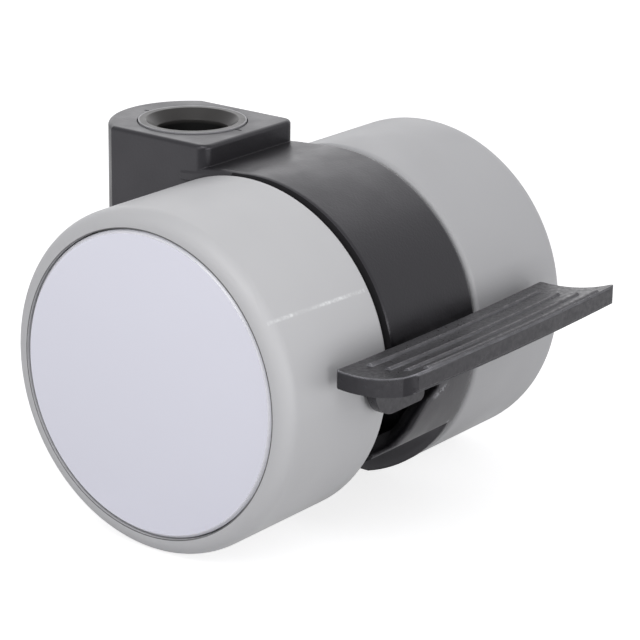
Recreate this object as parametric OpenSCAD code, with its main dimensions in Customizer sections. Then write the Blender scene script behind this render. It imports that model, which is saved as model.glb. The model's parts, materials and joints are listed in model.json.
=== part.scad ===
// Twin wheel castor with a foot brake and a socket for a round furniture stem.
// Origin: on the swivel axis, in the plane of the socket's top face. +Z up, +X towards the pedal.
// Left is -Y and right is +Y. Modules named in axle terms are drawn round the axle's centre.

/* [Wheels] */
// Diameter over the tread
wheel_d = 50; // [46:1:60]
// Width of each wheel
wheel_w = 22.9; // [20:0.1:28]
// Space between the two inner faces
wheel_gap = 22.2; // [21:0.1:28]
// Thickness of the tyre over the core
tyre_t = 3.2; // [2.9:0.1:4]
// Radius of the tyre's soft outer shoulder
shoulder_r = 2.4; // [1:0.1:2.5]
// Radius of the tyre's inner edge
inner_edge_r = 0.8; // [0.3:0.1:1.5]
// Height of the ring that keys the tyre to the core
key_h = 1; // [0.5:0.1:1.5]
// Width of that ring
key_w = 6; // [3:0.5:10]
// Wall of the core's rim
rim_wall = 2.4; // [1.8:0.1:3]
// Thickness of the core's web
wheel_web_t = 3; // [2:0.1:5]
// How far the web lies in from the inner face
wheel_web_inset = 9; // [6:0.1:12]
// Diameter of the hub
hub_d = 13; // [11.8:0.1:16]
// Number of ribs behind the web
wheel_ribs = 8; // [4:1:12]
// Thickness of a rib
wheel_rib_t = 1.6; // [1:0.1:2.5]

/* [Caps] */
// Width of the tyre's rim that stays in sight round the bright disc
rim_in_sight = 2.7; // [2.6:0.05:2.8]
// Thickness of the disc
cap_t = 2; // [1.5:0.1:2.5]
// Bevel round the disc's face
cap_bevel = 0.4; // [0.2:0.05:0.8]
// Open line between disc and tyre
cap_gap = 0.2; // [0.1:0.05:0.4]
// Thickness of the skirt that locates the disc
skirt_t = 1.2; // [0.8:0.1:2]
// Length of the skirt
skirt_h = 2.5; // [1.5:0.1:4]

/* [Axle] */
// Diameter of the axle
axle_d = 8; // [6:0.1:8.5]
// Wall of the hub's bush
bush_wall = 0.8; // [0.5:0.1:1]
// Thickness of the spacer washers
spacer_t = 0.5; // [0.4:0.05:1]
// Thickness of the retaining rings
clip_t = 0.8; // [0.6:0.1:1]
// Depth of the retaining rings' grooves
groove_depth = 0.6; // [0.4:0.1:0.8]
// Axle left outside each groove
axle_tip = 1.2; // [0.8:0.1:1.5]
// Free space between the axle's end and the disc
end_space = 1.2; // [0.8:0.1:3]

/* [Housing] */
// How far the fender stands out past the tread
fender_proud = 0.1; // [0:0.05:0.5]
// Wall of the fender
fender_wall = 2.4; // [1.8:0.1:3]
// Rounding of the fender's rims
fender_edge_r = 1; // [0.5:0.1:1.2]
// Gap between the housing and each wheel
side_gap = 0.5; // [0.4:0.05:0.8]
// Thickness of the central web
web_t = 3.2; // [2.5:0.1:4]
// Diameter of the axle boss
boss_d = 15; // [13:0.1:16]
// Angle below the axle's level where the round fender turns into the flat foot
foot_start = 30.5; // [27:0.5:35]
// Angle that the foot's flat spans
foot_flat = 58; // [50:1:59]
// Angle below the axle's level where the hood ends
foot_end = 66; // [62:1:70]
// Thickness of the flank below the foot on the side away from the brake arm
flank_t = 2; // [1.5:0.1:3]
// Height of the flank's lower edge above the floor
flank_clear = 1; // [0.8:0.1:3]
// Thickness of the stiffening ribs
rib_t = 1.8; // [1.2:0.1:2.5]

/* [Swivel block] */
// Axle's distance behind the swivel axis
trail = 20; // [19:0.1:23]
// Height of the socket's top face above the wheels
seat_rise = 3; // [2.6:0.1:5]
// How far the block's sides lie inside the fender's
block_inset = 0.1; // [0.1:0.05:0.5]
// Radius of the round front
block_front_r = 12.5; // [11.5:0.1:14]
// Distance from the swivel axis to the flat back face
block_back = 11.2; // [10.6:0.1:11.6]
// Radius of the upright back corners
block_corner_r = 1.7; // [1.2:0.1:3]
// Rounding of the block's top edge
block_edge_r = 0.6; // [0.4:0.1:1.1]
// How far the neck falls from the fender's crown to the block's back
neck_drop = 0.5; // [0.3:0.05:1.2]
// How far the neck wraps along the block's sides
neck_wrap = 4.7; // [1:0.1:6]
// Height of the block
block_h = 24; // [22:0.1:26]

/* [Stem socket] */
// Bore for the stem
stem_d = 11; // [9.5:0.1:11.4]
// Wall of the sleeve round the stem
sleeve_wall = 1.5; // [1.2:0.1:1.8]
// Width of the lead-in funnel
funnel_w = 1.45; // [0.8:0.05:2]
// Depth of the funnel
funnel_h = 1.5; // [1:0.1:2.5]
// Width of the socket's flange outside the sleeve
flange_w = 1.1; // [0.8:0.1:1.4]
// Open line between the flange and the block
ring_gap = 0.15; // [0.1:0.05:0.4]
// Thickness of the flange
flange_t = 1.6; // [1.2:0.1:2.2]
// How far the ring stands above the block
ring_proud = 0.2; // [0.1:0.05:0.5]
// Thickness of the thrust washer
thrust_t = 0.6; // [0.4:0.1:1]
// Sleeve left below its groove
sleeve_tip = 1; // [0.8:0.1:1.5]

/* [Brake] */
// Length of the pedal across both wheels
pedal_len = 51.6; // [44:0.5:60]
// Depth of the pedal from back to front
pedal_depth = 13.8; // [13.5:0.1:16]
// Thickness of the pedal
pedal_t = 2.6; // [2.2:0.1:2.8]
// Radius of the gentle bow that the pedal follows across its length
pedal_bow_r = 540; // [400:10:900]
// Gap between the tread and the pedal's back edge, level with the axle
pedal_gap = 1; // [0.9:0.05:1.4]
// Height of the pedal's lowest top line above the axle
pedal_rise = 5.85; // [5.6:0.05:7]
// Radius of the pedal's hollow
pedal_hollow_r = 26.4; // [22:0.1:30]
// How far the lowest line lies from the back edge
pedal_low = 2.8; // [2:0.1:4]
// Radius of the pedal's back corners
pedal_corner_r = 3; // [1:0.1:4]
// Radius of the pedal's front corners
pedal_front_r = 2.5; // [1.5:0.1:6]
// Width of the bevels on the pedal's front lip
lip_w = 0.5; // [0.2:0.05:0.6]
// Number of grip ridges
ridge_count = 4; // [2:1:4]
// Distance between ridges
ridge_pitch = 3.2; // [2.4:0.05:3.2]
// First ridge's distance from the back edge
ridge_first = 3.1; // [2:0.1:3.1]
// Radius of a ridge's round top
ridge_r = 0.5; // [0.4:0.05:0.6]
// Height of a ridge
ridge_h = 0.35; // [0.2:0.05:0.38]
// Bare ends of the pedal beside the ridges
ridge_margin = 4.5; // [3:0.1:8]
// Gap between the tread and the shoe when released
shoe_gap = 0.7; // [0.6:0.05:1]
// Thickness of the shoe
shoe_t = 1.5; // [1.2:0.1:2]
// Width of the shoe
shoe_w = 11.8; // [10:0.1:13]
// How far the shoe covers the left tread
shoe_cover = 6.3; // [5:0.1:8]
// How far the shoe hangs below the axle's level
shoe_drop = 3.6; // [3:0.1:3.8]
// Radius of the shoe's outer lower corner
shoe_corner_r = 4.5; // [2:0.1:5]
// Radius of the shoe's inner lower corner
shoe_inner_r = 1; // [0.5:0.1:2]
// Width of the arm
arm_w = 6.6; // [5:0.1:7]
// Pivot's distance inside the fender's wall
pivot_inset = 6.7; // [6:0.1:7.5]
// Pivot's depth below the axle's level
pivot_drop = 0.8; // [0.6:0.1:1.5]
// Diameter of the pivot pin
pin_d = 3; // [2.5:0.1:3.5]
// Wall of the arm's eye round the pin
eye_wall = 1.9; // [1.5:0.1:2.2]
// Ledge between the notch for the arm and the fender's foot
notch_lip = 0.5; // [0.2:0.1:2]
// Radius of the fender's lobe beside the notch
lobe_r = 8.9; // [7:0.1:10]
// How far the lobe reaches past the middle towards the arm's side
lobe_reach = 2.9; // [1:0.1:3.2]
// Bevel in the notch's lower corner
notch_bevel = 2; // [0.5:0.1:3]
// Thickness of the leaf spring
leaf_t = 0.4; // [0.3:0.05:0.5]

/* [Clearances] */
// Radial clearance of turning fits
run_clear = 0.05; // [0.02:0.01:0.1]
// End float of turning pieces
float_gap = 0.3; // [0.2:0.02:0.4]
// Free space round parts that swing past each other
swing_gap = 0.6; // [0.4:0.05:0.8]

/* [Hidden] */
round_fn = 96; // facets in a full turn
$fn = round_fn;

black = "#2b2b2d";
grey = "#b9b9bb";
bright = "#e4e3ea";
steel = "#a9adb2";
dark_grey = "#4a4a4c";

cut = 0.5;    // overshoot of cutting tools
weld = 0.6;   // how far ribs and webs run into the walls that carry them
big = 200;    // larger than the part
skim = 0.1;   // how far a round passes the face that it runs out on
wide_fn = 360; // facets in a full turn of a wide round

// Wheels
wheel_r = wheel_d / 2;
wheel_in = wheel_gap / 2;
wheel_out = wheel_in + wheel_w;
core_r = wheel_r - tyre_t;
rim_in = core_r - rim_wall;
recess_r = wheel_r - rim_in_sight;
cap_r = recess_r - cap_gap;
cap_back = wheel_out - cap_t;

// Axle
axle_r = axle_d / 2;
axle_drop = wheel_r + seat_rise;
bush_r = axle_r + run_clear + bush_wall;
groove_r = axle_r - groove_depth;
hub_r = hub_d / 2;
axle_end = cap_back - end_space;
axle_clip_y = axle_end - axle_tip - clip_t;
hub_end = axle_clip_y - float_gap;

// Housing
fender_r = wheel_r + fender_proud;
fender_in = fender_r - fender_wall;
half_w = wheel_in - side_gap;
boss_end = wheel_in - float_gap - spacer_t;
web_y = web_t / 2;

// Socket and block
stem_r = stem_d / 2;
sleeve_r = stem_r + sleeve_wall;
flange_r = sleeve_r + flange_w;
sleeve_bore_r = sleeve_r + run_clear;
sleeve_groove_r = sleeve_r - groove_depth;
counterbore_r = flange_r + ring_gap;
thrust_z = -flange_t - float_gap - thrust_t;
block_r = half_w - block_inset;
block_top = -ring_proud;
block_base = -block_h;
neck_back = block_back - trail;
neck_fall = neck_drop - skim;
neck_r = (neck_back * neck_back + neck_fall * neck_fall) / (2 * neck_fall);
socket_clip_z = block_base - float_gap - clip_t;
sleeve_end = socket_clip_z - sleeve_tip;
hood_front = flange_r + 2 * swing_gap;
pocket_front = hood_front + fender_wall;

// Brake
pedal_back = wheel_r + pedal_gap;
pedal_front = pedal_back + pedal_depth;
pedal_half = pedal_len / 2;
pedal_under = pedal_rise - pedal_t;
hollow_x = pedal_back + pedal_low;
hollow_z = pedal_rise + pedal_hollow_r;
shoe_x = wheel_r + shoe_gap;
shoe_back = shoe_x + shoe_t;
shoe_left = -wheel_in - shoe_cover;
shoe_right = shoe_left + shoe_w;
nose_r = 0.55 * pedal_t;
shoe_top = pedal_rise - 0.6 * pedal_t;
arm_right = -web_y - swing_gap;
arm_left = arm_right - arm_w;
pin_r = pin_d / 2;
pin_bore_r = pin_r + run_clear;
eye_r = pin_bore_r + eye_wall;
pivot = [fender_in - pivot_inset, -pivot_drop];
pin_boss_end = half_w / 2;
notch_top = pedal_under - run_clear;
notch_foot = notch_lip - fender_r * sin(foot_start);
notch_in = pivot[0] + eye_r + swing_gap;
leaf_x = pivot[0] - eye_r - float_gap - leaf_t;
leaf_foot = pivot[1] - 2.8 * eye_r;
leaf_top = pivot[1] + eye_r;
post_h = 1.2 * eye_r;
post_wall = 1.4;

// Helpers

module at_axle() { translate([trail, 0, -axle_drop]) children(); }

module on_left() { mirror([0, 1, 0]) children(); }

// Half section, drawn as radius and Y, turned round the axle
module turned_on_axle() { rotate([-90, 0, 0]) rotate_extrude() children(); }

// Outline in X and Z, drawn out along Y from y0 to y1
module side_plate(y0, y1) {
    translate([0, y1, 0]) rotate([90, 0, 0]) linear_extrude(y1 - y0) children();
}

// Outline in Y and Z, drawn out along X from x0 to x1
module cross_plate(x0, x1) {
    translate([x0, 0, 0]) rotate([90, 0, 90]) linear_extrude(x1 - x0) children();
}

module ring_2d(r_out, r_in) {
    difference() {
        circle(r_out);
        circle(r_in);
    }
}

// Flat ring with a gap, for retaining rings
module open_ring(r_out, r_in, gap) {
    difference() {
        ring_2d(r_out, r_in);
        translate([0, -gap / 2]) square([r_out + cut, gap]);
    }
}

// Half section from 0 to r, with its far corners at y0 and y1 rounded
module rounded_section(r, y0, y1, edge0, edge1) {
    difference() {
        translate([0, y0]) square([r, y1 - y0]);
        if (edge0 > 0) translate([r, y0]) square(2 * edge0, center = true);
        if (edge1 > 0) translate([r, y1]) square(2 * edge1, center = true);
    }
    if (edge0 > 0) translate([r - edge0, y0 + edge0]) circle(edge0);
    if (edge1 > 0) translate([r - edge1, y1 - edge1]) circle(edge1);
}

// Housing

// Space behind front_x and above the flat foot that crosses radius r
module above_foot(r, front_x) {
    flat_end = foot_start + foot_flat;
    a = r * [cos(foot_start), -sin(foot_start)];
    b = r * [cos(flat_end), -sin(flat_end)];
    bottom = -r * sin(foot_end);
    ahead = 2 * a - b;
    below = a + (b - a) * (bottom - a[1]) / (b[1] - a[1]);
    front = front_x - trail;
    polygon([ahead, below, [front, bottom], [front, big], [ahead[0], big]]);
}

module hood_outline(r, front_x) {
    intersection() {
        circle(r);
        above_foot(r, front_x);
    }
}

// Opening at the fender's back for the brake lever, seen from behind, beside a round lobe
module notch_outline() {
    bevel_end = -lobe_reach - notch_bevel - cut;
    difference() {
        translate([-half_w - cut, notch_foot]) square([half_w + cut + web_y, notch_top - notch_foot]);
        translate([lobe_r - lobe_reach, notch_foot]) circle(lobe_r);
        translate([0, notch_foot - cut]) polygon([[bevel_end, 0], [0, 0], [0, -bevel_end]]);
    }
}

module fender() {
    difference() {
        intersection() {
            turned_on_axle() rounded_section(fender_r, -half_w, half_w, fender_edge_r, fender_edge_r);
            side_plate(-big, big) above_foot(fender_r, hood_front);
        }
        side_plate(-big, big) hood_outline(fender_in, pocket_front);
        cross_plate(notch_in, fender_r + cut) notch_outline();
    }
}

// Plate that fills the round below the flat foot on one side
module flank() {
    intersection() {
        turned_on_axle() rounded_section(fender_r, -half_w, half_w, fender_edge_r, fender_edge_r);
        side_plate(half_w - flank_t, half_w) difference() {
            translate([0, flank_clear - wheel_r]) square([fender_r, wheel_r - flank_clear]);
            above_foot(fender_in, hood_front);
        }
    }
}

module hood_web() {
    side_plate(-web_y, web_y) difference() {
        hood_outline(fender_in + weld, pocket_front - weld);
        translate([notch_in, notch_foot]) square([fender_r, notch_top - notch_foot]);
    }
}

module ribs(y0, y1, angles) {
    side_plate(y0, y1) intersection() {
        hood_outline(fender_in + weld, pocket_front - weld);
        for (a = angles)
            rotate(a) translate([0, -rib_t / 2]) square([fender_r, rib_t]);
    }
}

// Half section of the block out to r, with a rounded top edge
module block_section(r) { rounded_section(r, block_base, block_top, 0, block_edge_r); }

// Straight length of the block between its flat sides
module block_bar(x0, x1) {
    cross_plate(x0, x1) for (side = [0, 1]) mirror([side, 0]) block_section(block_r);
}

// Block with a round front, flat sides and back, and a rounded top edge
module swivel_block() {
    flat_end = block_back - block_corner_r;
    inner_y = block_r - block_corner_r;
    intersection() {
        rotate_extrude() block_section(block_front_r);
        block_bar(-block_front_r - cut, 0);
    }
    block_bar(0, flat_end);
    translate([flat_end, 0, 0]) side_plate(-inner_y, inner_y) block_section(block_corner_r);
    for (side = [-1, 1])
        translate([flat_end, side * inner_y, 0]) rotate([0, 0, 45 * side - 45])
            rotate_extrude(angle = 90) block_section(block_corner_r);
}

// Flatter round that runs off the fender's crown, with the same rims, and wraps round the block
module neck() {
    front = neck_back - neck_wrap;
    floor_z = fender_r - neck_drop - fender_wall;
    intersection() {
        translate([0, 0, fender_r - skim - neck_r]) turned_on_axle($fn = wide_fn) let ($fn = round_fn)
            rounded_section(neck_r, -half_w, half_w, fender_edge_r, fender_edge_r);
        side_plate(-big, big) translate([front, floor_z]) square([-front, big]);
    }
}

// Slotted post that grips the foot of the leaf spring
module leaf_post() {
    side_plate(arm_left, -web_y + weld) difference() {
        translate([leaf_x - post_wall, leaf_foot]) square([leaf_t + 2 * post_wall, post_h]);
        translate([leaf_x, leaf_foot + post_wall]) square([leaf_t, post_h]);
    }
}

module housing() {
    color(black) difference() {
        union() {
            swivel_block();
            at_axle() {
                fender();
                flank();
                neck();
                hood_web();
                ribs(-half_w + swing_gap, 0, [90, 152, 215, 270]);
                ribs(0, half_w - swing_gap, [30, 90, 152, 215, 270, 330]);
                side_plate(-boss_end, boss_end) circle(boss_d / 2);
                side_plate(0, pin_boss_end) translate(pivot) circle(eye_r);
                leaf_post();
            }
        }
        at_axle() side_plate(-half_w - cut, half_w + cut) circle(axle_r);
        at_axle() side_plate(-half_w - cut, pin_boss_end + cut) translate(pivot) circle(pin_r);
        translate([0, 0, block_base - cut]) cylinder(h = block_h + 2 * cut, r = sleeve_bore_r);
        translate([0, 0, thrust_z]) cylinder(h = cut - thrust_z, r = counterbore_r);
    }
}

// Stem socket and its rings

module stem_socket() {
    color(dark_grey) rotate_extrude() difference() {
        union() {
            translate([0, sleeve_end]) square([sleeve_r, -sleeve_end]);
            translate([0, -flange_t]) square([flange_r, flange_t]);
        }
        translate([0, sleeve_end - cut]) square([stem_r, 2 * cut - sleeve_end]);
        polygon([[0, 0], [stem_r + funnel_w, 0], [stem_r, -funnel_h], [0, -funnel_h]]);
        translate([sleeve_groove_r, socket_clip_z]) square([groove_depth + cut, clip_t]);
    }
}

module socket_washer() {
    color(steel) translate([0, 0, thrust_z]) linear_extrude(thrust_t)
        ring_2d(flange_r, sleeve_bore_r + run_clear);
}

module socket_clip() {
    color(steel) translate([0, 0, socket_clip_z]) linear_extrude(clip_t)
        open_ring(flange_r, sleeve_groove_r, sleeve_groove_r);
}

// Axle and what sits on it

module axle() {
    color(steel) at_axle() turned_on_axle() difference() {
        translate([0, -axle_end]) square([axle_r, 2 * axle_end]);
        for (side = [0, 1]) mirror([0, side]) {
            translate([groove_r, axle_clip_y]) square([groove_depth + cut, clip_t]);
            translate([axle_r, axle_end]) rotate(45) square(groove_depth, center = true);
        }
    }
}

module spacer() {
    color(steel) at_axle() side_plate(boss_end, boss_end + spacer_t) ring_2d(hub_r, axle_r + run_clear);
}

module axle_clip() {
    color(steel) at_axle() side_plate(axle_clip_y, axle_clip_y + clip_t)
        open_ring(hub_r, groove_r, groove_r);
}

// Wheels

// Ring in the middle of the core that stops the tyre from creeping sideways
module key_section(r0) {
    translate([r0, (wheel_in + cap_back - key_w) / 2]) square([core_r + key_h - r0, key_w]);
}

module tyre() {
    color(grey) at_axle() turned_on_axle() difference() {
        rounded_section(wheel_r, wheel_in, wheel_out, inner_edge_r, shoulder_r);
        square([core_r, wheel_out + cut]);
        key_section(0);
        translate([0, cap_back]) square([recess_r, cap_t + cut]);
    }
}

module wheel() {
    web_0 = wheel_in + wheel_web_inset;
    color(black) at_axle() {
        turned_on_axle() {
            translate([bush_r, wheel_in]) square([hub_r - bush_r, hub_end - wheel_in]);
            translate([bush_r, web_0]) square([core_r - bush_r, wheel_web_t]);
            translate([rim_in, wheel_in]) square([rim_wall, cap_back - wheel_in]);
            key_section(rim_in);
        }
        side_plate(wheel_in + wheel_web_inset / 2, web_0 + weld)
            for (a = [0 : 360 / wheel_ribs : 359])
                rotate(a) translate([hub_r - weld, -wheel_rib_t / 2])
                    square([rim_in - hub_r + 2 * weld, wheel_rib_t]);
    }
}

module bush() {
    color(dark_grey) at_axle() side_plate(wheel_in, hub_end) ring_2d(bush_r, axle_r + run_clear);
}

module cap() {
    skirt_r = rim_in - cap_gap;
    color(bright) at_axle() turned_on_axle() {
        difference() {
            translate([0, cap_back]) square([cap_r, cap_t]);
            translate([cap_r, wheel_out]) rotate(45) square(cap_bevel * sqrt(2), center = true);
        }
        translate([skirt_r - skirt_t, cap_back - skirt_h]) square([skirt_t, skirt_h + cap_t / 2]);
    }
}

// Brake

// Point at x on the lower half of a circle of radius r round the hollow's centre
function on_hollow(r, x) = [x, hollow_z - sqrt(r * r - (x - hollow_x) * (x - hollow_x))];

// X at y on a circle of radius r round the bow's centre
function on_bow(r, y) = pedal_front - pedal_bow_r + sqrt(r * r - y * y);

// Pedal in side view: a hollowed strip with a round back edge and a bevelled front lip
module pedal_profile() {
    hollow = [hollow_x, hollow_z];
    nose = on_hollow(pedal_hollow_r + pedal_t / 2, pedal_back + nose_r);
    difference() {
        intersection() {
            translate(hollow) ring_2d(pedal_hollow_r + pedal_t, pedal_hollow_r);
            union() {
                polygon([hollow, 2 * nose - hollow, [pedal_front, -hollow_z], [pedal_front, hollow_z]]);
                translate(nose) circle(nose_r);
            }
        }
        for (r = [pedal_hollow_r, pedal_hollow_r + pedal_t])
            translate(on_hollow(r, pedal_front)) rotate(45) square(lip_w, center = true);
    }
}

module ridge_profiles() {
    for (i = [0 : ridge_count - 1]) {
        reach = pedal_back + ridge_first + i * ridge_pitch - hollow_x;
        translate([hollow_x, hollow_z]) rotate(asin(reach / pedal_hollow_r))
            translate([0, ridge_h - ridge_r - pedal_hollow_r]) circle(ridge_r);
    }
}

// Sweeps a side view along the pedal's bow, out to half on each side
module bowed(half) {
    span = 2 * asin(half / pedal_bow_r);
    translate([pedal_front - pedal_bow_r, 0, 0]) rotate([0, 0, -span / 2])
        rotate_extrude(angle = span, $fn = wide_fn)
            translate([pedal_bow_r - pedal_front, 0]) let ($fn = round_fn) children();
}

// Pedal in plan view, with rounded corners and room for its bowed edges and its ends
module pedal_plan() {
    back_y = pedal_half - pedal_corner_r;
    front_y = pedal_half - pedal_front_r + skim;
    back_x = on_bow(pedal_bow_r - pedal_depth, back_y) + pedal_corner_r - skim;
    front_x = on_bow(pedal_bow_r, front_y) - pedal_front_r + skim;
    room = pedal_depth / 2;
    translate([back_x, -pedal_half - room]) square([front_x - back_x, pedal_len + 2 * room]);
    translate([pedal_back - room, -back_y]) square([front_x - pedal_back + room, 2 * back_y]);
    translate([back_x, -front_y]) square([pedal_front - back_x + room, 2 * front_y]);
    for (side = [-1, 1]) {
        translate([back_x, side * back_y]) circle(pedal_corner_r);
        translate([front_x, side * front_y]) circle(pedal_front_r);
    }
}

module shoe_outline() {
    r = shoe_corner_r;
    r_in = shoe_inner_r;
    translate([shoe_left, r - shoe_drop]) square([shoe_w, shoe_top + shoe_drop - r]);
    translate([shoe_left + r, r_in - shoe_drop]) square([shoe_w - r, r]);
    translate([shoe_left + r, -shoe_drop]) square([shoe_w - r - r_in, r]);
    translate([shoe_left + r, r - shoe_drop]) circle(r);
    translate([shoe_right - r_in, r_in - shoe_drop]) circle(r_in);
}

// Arm in side view: an eye round the pin and a bar out to the shoe
module arm_profile() {
    end_x = shoe_x + shoe_t / 2;
    difference() {
        union() {
            translate(pivot) circle(eye_r);
            polygon([pivot - [0, eye_r], [end_x, shoe_t - shoe_drop],
                     [end_x, notch_top - swing_gap], pivot + [0, eye_r]]);
        }
        translate(pivot) circle(pin_bore_r);
    }
}

module brake_pedal() {
    color(black) at_axle() {
        intersection() {
            bowed(pedal_half) pedal_profile();
            linear_extrude(hollow_z) pedal_plan();
        }
        bowed(pedal_half - ridge_margin) ridge_profiles();
        cross_plate(shoe_x, shoe_back) shoe_outline();
        side_plate(arm_left, arm_right) arm_profile();
    }
}

module brake_pin() {
    color(steel) at_axle() side_plate(arm_left - swing_gap, pin_boss_end) translate(pivot) circle(pin_r);
}

module brake_spring() {
    color(steel) at_axle() side_plate(arm_left, arm_right)
        translate([leaf_x, leaf_foot + post_wall]) square([leaf_t, leaf_top - leaf_foot - post_wall]);
}

housing();
stem_socket();
socket_washer();
socket_clip();
axle();
on_left() spacer();  // left_spacer
spacer();  // right_spacer
on_left() axle_clip();  // left_axle_clip
axle_clip();  // right_axle_clip
on_left() tyre();  // left_tyre
on_left() wheel();  // left_wheel
on_left() bush();  // left_bush
on_left() cap();  // left_cap
tyre();  // right_tyre
wheel();  // right_wheel
bush();  // right_bush
cap();  // right_cap
brake_pedal();
brake_pin();
brake_spring();
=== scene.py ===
"""Looks of the twin wheel castor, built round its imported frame.

Metres; +Z up, +X towards the brake pedal.
"""

import json
import math

import bpy
from mathutils import Matrix, Vector


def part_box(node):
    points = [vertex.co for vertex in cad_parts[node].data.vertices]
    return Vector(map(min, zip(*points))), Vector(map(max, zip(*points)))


MM = 0.001

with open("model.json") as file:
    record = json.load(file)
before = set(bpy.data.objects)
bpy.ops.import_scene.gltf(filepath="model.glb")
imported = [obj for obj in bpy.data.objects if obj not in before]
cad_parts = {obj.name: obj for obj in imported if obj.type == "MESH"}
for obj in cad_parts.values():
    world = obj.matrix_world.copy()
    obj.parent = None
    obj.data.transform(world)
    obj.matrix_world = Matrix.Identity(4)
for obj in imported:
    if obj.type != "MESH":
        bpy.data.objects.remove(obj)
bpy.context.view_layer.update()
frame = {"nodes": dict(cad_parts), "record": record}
nodes = frame["nodes"]

# Places taken from the frame
tyre_low, tyre_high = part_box("left_tyre")
wheel_r = (tyre_high.x - tyre_low.x) / 2
axle = Vector(((tyre_low.x + tyre_high.x) / 2, 0, (tyre_low.z + tyre_high.z) / 2))
floor_z = tyre_low.z
block_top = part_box("housing")[1].z
ring_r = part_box("stem_socket")[1].x
fender_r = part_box("housing")[1].x - axle.x
pedal_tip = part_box("brake_pedal")[0].y
cap_r = (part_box("left_cap")[1].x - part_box("left_cap")[0].x) / 2

# The fender band and the flat foot below it: half its width, the way the foot faces, its distance from the axle
half_w = 10.6 * MM
FOOT_TILT = math.radians(59.5)
FOOT_HALF_ARC = math.radians(29)
FOOT = (math.cos(FOOT_TILT), 0, -math.sin(FOOT_TILT))
foot_r = fender_r * math.cos(FOOT_HALF_ARC)

# A scuff beside the notch that is partly a painted highlight, and a painted glint on the crease below it
NOTCH_SCUFF_AND_HIGHLIGHT = (44.5 * MM, 2.4 * MM, -33.4 * MM)
GLINT = (41.75 * MM, 8.3 * MM, -40.5 * MM)

# The black of the mouldings, and the pale tone of worn places and of painted highlights
BLACK = (0.0095, 0.009, 0.0105)
PALE = (0.45, 0.45, 0.48)

# Light from all round, and what the floor adds to look white to the camera
SKY_GLOW = 0.46
FLOOR_GLOW = 0.78


# Materials

def new_material(name, color, roughness, metallic=0.0, specular=0.5):
    """A principled material with its plain values set on the shader's own sockets."""
    mat = bpy.data.materials.new(name)
    mat.use_nodes = True
    shader = mat.node_tree.nodes["Principled BSDF"]
    shader.inputs["Base Color"].default_value = (*color, 1)
    shader.inputs["Roughness"].default_value = roughness
    shader.inputs["Metallic"].default_value = metallic
    shader.inputs["Specular IOR Level"].default_value = specular
    return mat, mat.node_tree, shader


def place_of(tree):
    """Coordinates in the part's frame, which move with the piece."""
    return tree.nodes.new("ShaderNodeTexCoord").outputs["Object"]


def noise(tree, scale, detail=3.0):
    """Noise with its scale in cells per metre."""
    node = tree.nodes.new("ShaderNodeTexNoise")
    node.inputs["Scale"].default_value = scale
    node.inputs["Detail"].default_value = detail
    tree.links.new(place_of(tree), node.inputs["Vector"])
    return node.outputs["Fac"]


def math_node(tree, operation, first, second):
    """A math node; each side is a socket or a plain value."""
    node = tree.nodes.new("ShaderNodeMath")
    node.operation = operation
    for slot, value in zip(node.inputs, (first, second)):
        if isinstance(value, (int, float)):
            slot.default_value = value
        else:
            tree.links.new(value, slot)
    return node.outputs["Value"]


def spread(tree, source, low, high, start=0.3, end=0.7):
    """Maps a texture's values between start and end to the range low to high."""
    node = tree.nodes.new("ShaderNodeMapRange")
    node.inputs["From Min"].default_value = start
    node.inputs["From Max"].default_value = end
    node.inputs["To Min"].default_value = low
    node.inputs["To Max"].default_value = high
    tree.links.new(source, node.inputs["Value"])
    return node.outputs["Result"]


def blend(tree, mask, color_a, color_b):
    """Colour that goes from a to b by a mask; each colour is a socket or a plain value."""
    node = tree.nodes.new("ShaderNodeMix")
    node.data_type = "RGBA"
    for slot, color in ((node.inputs[6], color_a), (node.inputs[7], color_b)):
        if isinstance(color, tuple):
            slot.default_value = (*color, 1)
        else:
            tree.links.new(color, slot)
    tree.links.new(mask, node.inputs[0])
    return node.outputs[2]


def soft_edges(tree, radius):
    """Normal that rounds the sharp edges of a moulding."""
    node = tree.nodes.new("ShaderNodeBevel")
    node.samples = 6
    node.inputs["Radius"].default_value = radius
    return node.outputs["Normal"]


def edge_mask(tree, soft, full=0.8, none=0.97):
    """One on the very edges, nothing on plain faces."""
    plain = tree.nodes.new("ShaderNodeNewGeometry")
    node = tree.nodes.new("ShaderNodeVectorMath")
    node.operation = "DOT_PRODUCT"
    tree.links.new(soft, node.inputs[0])
    tree.links.new(plain.outputs["Normal"], node.inputs[1])
    return spread(tree, node.outputs["Value"], 1.0, 0.0, full, none)


def add_bump(tree, shader, height, distance, strength=1.0, normal=None):
    """Fine relief from a height, over a rounded normal if there is one."""
    bump = tree.nodes.new("ShaderNodeBump")
    bump.inputs["Strength"].default_value = strength
    bump.inputs["Distance"].default_value = distance
    tree.links.new(height, bump.inputs["Height"])
    if normal is not None:
        tree.links.new(normal, bump.inputs["Normal"])
    tree.links.new(bump.outputs["Normal"], shader.inputs["Normal"])


def stripe(tree, source, half_width):
    """One where a coordinate lies within half_width of nought."""
    return math_node(tree, "LESS_THAN", math_node(tree, "ABSOLUTE", source, 0.0), half_width)


def dot(tree, source, direction):
    """Share of a vector along a fixed direction."""
    node = tree.nodes.new("ShaderNodeVectorMath")
    node.operation = "DOT_PRODUCT"
    tree.links.new(source, node.inputs[0])
    node.inputs[1].default_value = direction
    return node.outputs["Value"]


def along(tree, direction):
    """Distance along a direction in the part's frame."""
    return dot(tree, place_of(tree), direction)


def beyond(tree, direction, limit):
    """One where the place along a direction lies beyond a limit."""
    return math_node(tree, "GREATER_THAN", along(tree, direction), limit)


def both(tree, first, second):
    """Where two masks meet."""
    return math_node(tree, "MULTIPLY", first, second)


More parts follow.
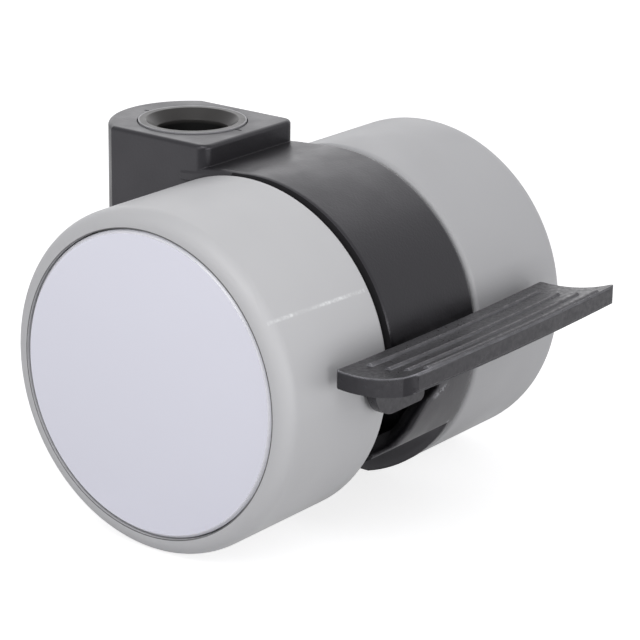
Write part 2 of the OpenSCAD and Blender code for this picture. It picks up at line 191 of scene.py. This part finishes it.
def off_line(tree, place, keep):
    """Distance from a line through a place; keep names the axes that count."""
    flat = tree.nodes.new("ShaderNodeVectorMath")
    flat.operation = "MULTIPLY_ADD"
    tree.links.new(place_of(tree), flat.inputs[0])
    flat.inputs[1].default_value = keep
    flat.inputs[2].default_value = [-p * k for p, k in zip(place, keep)]
    node = tree.nodes.new("ShaderNodeVectorMath")
    node.operation = "LENGTH"
    tree.links.new(flat.outputs["Vector"], node.inputs[0])
    return node.outputs["Value"]


def smear(tree, place, length, width):
    """Soft patch on a face towards +X, drawn out along a slanting line."""
    mask = None
    for direction, reach in (((0, 0.92, 0.4), length), ((0, -0.4, 0.92), width)):
        apart = math_node(tree, "SUBTRACT", along(tree, direction), Vector(place).dot(Vector(direction)))
        part = spread(tree, math_node(tree, "ABSOLUTE", apart, 0.0), 1.0, 0.0, 0.4 * reach, reach)
        mask = part if mask is None else both(tree, mask, part)
    return mask


def scuff_mask(tree):
    """Broken pale scuff that crosses the near tread, a little askew to the axle."""
    angle = math.radians(32)
    start, end = -33 * MM, -12.4 * MM
    rise = Vector((-math.sin(angle), 0.031, math.cos(angle)))
    middle = axle + Vector((wheel_r * math.cos(angle), (start + end) / 2, wheel_r * math.sin(angle)))
    apart = math_node(tree, "SUBTRACT", along(tree, rise), rise.dot(middle))
    mask = spread(tree, math_node(tree, "ABSOLUTE", apart, 0.0), 1.0, 0.0, 0.08 * MM, 0.36 * MM)
    limits = ((1, 0, 0), axle.x), ((0, 1, 0), start), ((0, -1, 0), -end)
    for direction, limit in limits:
        mask = both(tree, mask, beyond(tree, direction, limit))
    coarse = spread(tree, noise(tree, 420), 0.25, 1.0, 0.4, 0.6)
    fine = spread(tree, noise(tree, 2200), 0.35, 1.0, 0.4, 0.62)
    return both(tree, mask, both(tree, coarse, fine))


def base_black(name, color, edge):
    """Black moulding with a cloudy gloss; returns its rounded normal and its roughness too."""
    mat, tree, shader = new_material(name, color, 0.35, specular=0.75)
    shader.inputs["Specular Tint"].default_value = (0.95, 0.93, 1.0, 1)
    gloss = spread(tree, noise(tree, 160), 0.28, 0.42)
    tree.links.new(gloss, shader.inputs["Roughness"])
    return mat, tree, shader, soft_edges(tree, edge * MM), gloss


def core_black():
    """The wheel cores' moulding, a little paler, with slightly worn edges."""
    color = (0.025, 0.025, 0.026)
    mat, tree, shader, soft, _ = base_black("core_black", color, 0.2)
    worn = both(tree, edge_mask(tree, soft), spread(tree, noise(tree, 900), 0.0, 0.1))
    tree.links.new(blend(tree, worn, color, PALE), shader.inputs["Base Color"])
    add_bump(tree, shader, noise(tree, 2600), 0.04 * MM, 0.5, soft)
    return mat


def pedal_black():
    """The pedal's moulding: grained, with painted highlights on its lip, its ridges and the upper edges near
    its tip.
    """
    mat, tree, shader, soft, _ = base_black("pedal_black", BLACK, 0.15)
    facing = tree.nodes.new("ShaderNodeTexCoord").outputs["Normal"]
    # Painted highlight: pale on faces turned partly up and towards +X and -Y, and on the upper edges near the
    # tip
    upward = math_node(tree, "SUBTRACT", dot(tree, facing, (0, 0, 1)), 0.62)
    painted_highlight = spread(tree, math_node(tree, "ABSOLUTE", upward, 0.0), 0.3, 0.0, 0.15, 0.28)
    painted_highlight = both(tree, painted_highlight, spread(tree, dot(tree, facing, (0.7, -0.7, 0)), 0.0, 1.0, 0.2, 0.5))
    wide = soft_edges(tree, 0.45 * MM)
    upper = spread(tree, dot(tree, wide, (0, 0, 1)), 0.0, 0.8, 0.1, 0.3)
    near_tip = spread(tree, along(tree, (0, 1, 0)), 1.0, 0.0, pedal_tip + 4 * MM, pedal_tip + 12 * MM)
    tip = both(tree, both(tree, edge_mask(tree, wide, 0.94, 0.998), upper), near_tip)
    painted_highlight = both(tree, math_node(tree, "MAXIMUM", painted_highlight, tip), spread(tree, noise(tree, 500), 0.4, 0.9))
    tree.links.new(spread(tree, noise(tree, 1500, 2.0), 0.26, 0.5), shader.inputs["Roughness"])
    tree.links.new(blend(tree, painted_highlight, BLACK, PALE), shader.inputs["Base Color"])
    add_bump(tree, shader, noise(tree, 1500, 2.0), 0.03 * MM, 0.5, soft)
    return mat


def housing_black():
    """The housing's moulding: seams by the ring, soft crease at the foot, painted light on the far flank,
    painted shade in the pocket and on the near side, a scuff and a painted glint by the notch.
    """
    mat, tree, shader, soft, gloss = base_black("housing_black", BLACK, 0.2)
    low = spread(tree, along(tree, (0, 0, 1)), 1.6 * MM, 0.2 * MM, axle.z - 6 * MM, axle.z - 2 * MM)
    tree.links.new(low, soft.node.inputs["Radius"])
    past_foot = math_node(tree, "SUBTRACT", along(tree, FOOT), axle.dot(Vector(FOOT)) + foot_r)
    below_foot = math_node(tree, "GREATER_THAN", past_foot, 0.1 * MM)
    forward = spread(tree, along(tree, (1, 0, 0)), 0.0, 1.0, axle.x + 10 * MM, axle.x + 22 * MM)
    # Painted light: a paler black on the far flank below the foot
    painted_flank_light = both(tree, both(tree, beyond(tree, (0, 1, 0), half_w - 2.2 * MM), below_foot), forward)
    tint = blend(tree, painted_flank_light, BLACK, (0.06, 0.059, 0.064))
    # A pale scuff beside the notch, partly a painted highlight, and a painted glint on the crease
    streak_scuff_and_highlight, glint = smear(tree, NOTCH_SCUFF_AND_HIGHLIGHT, 2.2 * MM, 0.7 * MM), smear(tree, GLINT, 0.7 * MM, 0.3 * MM)
    scuffs_and_glint = math_node(tree, "ADD", streak_scuff_and_highlight, glint)
    scuffs_and_glint = both(tree, scuffs_and_glint, spread(tree, noise(tree, 1700), 0.0, 0.5, 0.44, 0.58))
    scuffs_and_glint = both(tree, scuffs_and_glint, beyond(tree, (1, 0, 0), axle.x + 18 * MM))
    tint = blend(tree, scuffs_and_glint, tint, PALE)
    seam = both(tree, stripe(tree, along(tree, (0, 1, 0)), 0.2 * MM),
                stripe(tree, along(tree, (1, 0, 0)), ring_r + 1.3 * MM))
    seam = both(tree, seam, beyond(tree, (0, 0, 1), block_top - 0.3 * MM))
    # Painted shade: the pocket under the fender and the fender's near side are made black and dull
    pocket_shade = math_node(tree, "LESS_THAN", off_line(tree, axle, (1, 0, 1)), fender_r - 1.2 * MM)
    pocket_shade = both(tree, pocket_shade, math_node(tree, "LESS_THAN", past_foot, -1 * MM))
    pocket_shade = both(tree, pocket_shade, beyond(tree, (0, 0, -1), -axle.z))
    side = both(tree, beyond(tree, (0, -1, 0), half_w - 0.5 * MM), beyond(tree, (1, 0, 0), axle.x - 4 * MM))
    dull = math_node(tree, "MAXIMUM", seam, math_node(tree, "MAXIMUM", pocket_shade, side))
    tree.links.new(blend(tree, dull, tint, (0.0, 0.0, 0.0)), shader.inputs["Base Color"])
    tree.links.new(math_node(tree, "MAXIMUM", gloss, dull), shader.inputs["Roughness"])
    height = math_node(tree, "SUBTRACT", noise(tree, 2600), seam)
    add_bump(tree, shader, height, 0.04 * MM, 0.5, soft)
    return mat


def soft_grey(name, shade, scuffed=False):
    """Satin grey tread with a fine grain, a cloudy gloss and a thin painted shadow line round the cap's edge;
    with a pale scuff across it if asked.
    """
    pale, dull = ((k * shade, k * shade, k * shade + 0.012) for k in (1.03, 0.97))
    mat, tree, shader = new_material(name, dull, 0.42, specular=0.45)
    tint = blend(tree, noise(tree, 45), dull, pale)
    facing = dot(tree, tree.nodes.new("ShaderNodeTexCoord").outputs["Normal"], (0, 1, 0))
    # Painted shadow: a thin dark ring on the outer face, just beyond the cap's edge
    cap_gap_shadow = math_node(tree, "SUBTRACT", off_line(tree, axle, (1, 0, 1)), cap_r + 0.28 * MM)
    outer_face = spread(tree, math_node(tree, "ABSOLUTE", facing, 0.0), 0.0, 0.8, 0.4, 0.6)
    cap_gap_shadow = both(tree, stripe(tree, cap_gap_shadow, 0.09 * MM), outer_face)
    tint = blend(tree, cap_gap_shadow, tint, (0.03, 0.03, 0.032))
    if scuffed:
        tint = blend(tree, scuff_mask(tree), tint, (0.86, 0.87, 0.88))
    tree.links.new(tint, shader.inputs["Base Color"])
    tree.links.new(spread(tree, noise(tree, 110), 0.36, 0.5), shader.inputs["Roughness"])
    add_bump(tree, shader, noise(tree, 1900), 0.03 * MM, 0.14, soft_edges(tree, 0.2 * MM))
    return mat


def bright_plate():
    """Plated disc, slightly violet, with a faint orange peel and a pale non-metallic band round its edge as a
    painted highlight.
    """
    plate = (0.66, 0.66, 0.735)
    mat, tree, shader = new_material("bright_plate", plate, 0.16, metallic=1.0)
    # Painted highlight: a pale, non-metallic band on the disc's edge
    painted_edge_highlight = spread(tree, off_line(tree, axle, (1, 0, 1)), 0.0, 1.0, cap_r - 0.5 * MM, cap_r - 0.4 * MM)
    tree.links.new(blend(tree, painted_edge_highlight, plate, (0.82, 0.82, 0.87)), shader.inputs["Base Color"])
    tree.links.new(math_node(tree, "SUBTRACT", 1.0, painted_edge_highlight), shader.inputs["Metallic"])
    tree.links.new(spread(tree, noise(tree, 70), 0.14, 0.2), shader.inputs["Roughness"])
    add_bump(tree, shader, noise(tree, 500, 1.0), 0.02 * MM, 0.05)
    return mat


def dark_sleeve():
    """Socket moulding: painted shade darkens the bore, the funnel is painted a paler, warmer grey as painted
    light, and a painted highlight runs on the ring's outer edge.
    """
    mat, tree, shader = new_material("dark_sleeve", (0.01, 0.01, 0.0105), 0.3, specular=0.4)
    # Painted shade and light: black below in the bore, a paler warm grey above in the funnel
    depth = spread(tree, along(tree, (0, 0, 1)), 0.0, 1.0, block_top - 1.9 * MM, block_top - 1.5 * MM)
    tint = blend(tree, depth, (0.006, 0.006, 0.006), (0.045, 0.0425, 0.041))
    # Painted highlight: a pale ring on the ring's outer edge
    from_swivel = off_line(tree, (0, 0, 0), (1, 1, 0))
    edge = spread(tree, from_swivel, 0.0, 0.8, ring_r - 0.24 * MM, ring_r - 0.16 * MM)
    tint = blend(tree, edge, tint, (0.38, 0.38, 0.4))
    tree.links.new(tint, shader.inputs["Base Color"])
    gloss = math_node(tree, "SUBTRACT", spread(tree, noise(tree, 320), 0.5, 0.6), both(tree, depth, 0.2))
    tree.links.new(gloss, shader.inputs["Roughness"])
    add_bump(tree, shader, noise(tree, 1500), 0.02 * MM, 0.2, soft_edges(tree, 0.25 * MM))
    return mat


def plain_steel():
    """Bare steel of the axle, pins and clips, cloudy in its gloss."""
    mat, tree, shader = new_material("plain_steel", (0.55, 0.56, 0.58), 0.3, metallic=1.0)
    tree.links.new(spread(tree, noise(tree, 900), 0.24, 0.42), shader.inputs["Roughness"])
    add_bump(tree, shader, noise(tree, 2400), 0.01 * MM, 0.2)
    return mat


def bearing_grey():
    """Dull grey of the bearing pieces."""
    mat, tree, shader = new_material("bearing_grey", (0.2, 0.2, 0.21), 0.45)
    tree.links.new(spread(tree, noise(tree, 400), 0.4, 0.52), shader.inputs["Roughness"])
    add_bump(tree, shader, noise(tree, 2000), 0.02 * MM, 0.2)
    return mat


FINISH = {
    "housing_black": housing_black(),
    "core_black": core_black(),
    "socket_black": dark_sleeve(),
    # Painted shade: the tyre_grey grey, used on the far tyre, is darker than the near tyre's 0.58
    "tyre_grey": soft_grey("soft_grey", 0.485),
    "cap_bright": bright_plate(),
    "bearing_grey": bearing_grey(),
    "steel": plain_steel(),
}

OWN_FINISH = {
    "left_tyre": soft_grey("scuffed_grey", 0.58, True),
    "brake_pedal": pedal_black(),
}

for part in frame["record"]["subparts"]:
    node = nodes[part["node"]]
    node.data.materials.clear()
    node.data.materials.append(OWN_FINISH.get(part["node"], FINISH[part["material_slot"]]))
    for face in node.data.polygons:
        face.material_index = 0


# Stage

def make_floor():
    """Pale floor, lifted to white where the camera or a gloss sees it, that still takes the shadow."""
    mesh = bpy.data.meshes.new("floor")
    half = 3.0
    corners = [(-half, -half, 0), (half, -half, 0), (half, half, 0), (-half, half, 0)]
    mesh.from_pydata(corners, [], [(0, 1, 2, 3)])
    floor = bpy.data.objects.new("floor", mesh)
    floor.location = (0, 0, floor_z)
    bpy.context.scene.collection.objects.link(floor)
    mat, tree, shader = new_material("pale_floor", (0.55, 0.55, 0.555), 0.9, specular=0.1)
    shader.inputs["Emission Color"].default_value = (1, 1, 1, 1)
    path = tree.nodes.new("ShaderNodeLightPath")
    seen = math_node(tree, "MULTIPLY", path.outputs["Is Camera Ray"], FLOOR_GLOW)
    card = spread(tree, along(tree, (0.8, -0.6, 0)), 1.0, 0.0, 0.05, 0.12)
    glow = spread(tree, along(tree, (0, -1, 0)), 0.5, 0.67, 0.05, 0.17)
    glow = math_node(tree, "MULTIPLY", glow, card)
    glossed = math_node(tree, "MULTIPLY", path.outputs["Is Glossy Ray"], glow)
    tree.links.new(math_node(tree, "ADD", seen, glossed), shader.inputs["Emission Strength"])
    mesh.materials.append(mat)


def add_light(name, place, aim, size, power, tint=(1, 1, 1)):
    """Rectangular lamp turned towards a place."""
    data = bpy.data.lights.new(name, "AREA")
    data.shape = "RECTANGLE"
    data.size, data.size_y = size
    data.energy = power
    data.color = tint
    lamp = bpy.data.objects.new(name, data)
    lamp.location = place
    lamp.rotation_euler = (Vector(aim) - Vector(place)).to_track_quat("-Z", "Y").to_euler()
    bpy.context.scene.collection.objects.link(lamp)


def light_scene():
    """Even studio light, with a brighter side and a darker side for glosses, and four lamps."""
    world = bpy.data.worlds.new("studio")
    world.use_nodes = True
    world.node_tree.nodes["Background"].inputs["Color"].default_value = (0.98, 0.98, 1.0, 1)
    tree = world.node_tree
    path = tree.nodes.new("ShaderNodeLightPath")
    way = tree.nodes.new("ShaderNodeTexCoord").outputs["Generated"]
    side = dot(tree, way, (0.7, -0.53, -0.4))
    brighter = spread(tree, side, 0.36, 0.14, -0.95, -0.3)
    darker = spread(tree, side, 0.0, -0.5, 0.4, 0.85)
    sky = both(tree, path.outputs["Is Glossy Ray"], math_node(tree, "ADD", brighter, darker))
    sky = math_node(tree, "ADD", sky, SKY_GLOW)
    tree.links.new(sky, tree.nodes["Background"].inputs["Strength"])
    bpy.context.scene.world = world
    add_light("overhead", (0.12, -0.19, 0.22), axle, (0.2, 0.2), 0.34)
    add_light("front_left", (-0.1, -0.8, 0.2), axle, (0.6, 0.5), 0.75)
    add_light("right_fill", (0.5, -0.04, 0.0), axle, (0.4, 0.12), 0.68)
    add_light("backdrop", (-0.64, 0.98, 0.5), axle, (1.9, 1.1), 4.0)


def make_camera():
    """Camera fitted to the photograph: place and turn in the part's frame, lens for a square frame."""
    azimuth, elevation, roll = (math.radians(a) for a in (37.22, 18.718, 0.795))
    place = Vector((249.347, -296.223, 99.735)) * MM
    level = math.cos(elevation)
    back = Vector((math.sin(azimuth) * level, -math.cos(azimuth) * level, math.sin(elevation)))
    right = Vector((math.cos(azimuth), math.sin(azimuth), 0))
    up = back.cross(right)
    across = right * math.cos(roll) + up * math.sin(roll)
    upward = up * math.cos(roll) - right * math.sin(roll)
    data = bpy.data.cameras.new("camera")
    data.sensor_width = 36
    data.lens = 150.663
    data.clip_start, data.clip_end = 0.01, 20
    camera = bpy.data.objects.new("camera", data)
    turn = Matrix((across, upward, back)).transposed().to_4x4()
    camera.matrix_world = Matrix.Translation(place) @ turn
    bpy.context.scene.collection.objects.link(camera)
    bpy.context.scene.camera = camera


make_floor()
light_scene()
make_camera()
bpy.context.scene.view_settings.view_transform = "Standard"
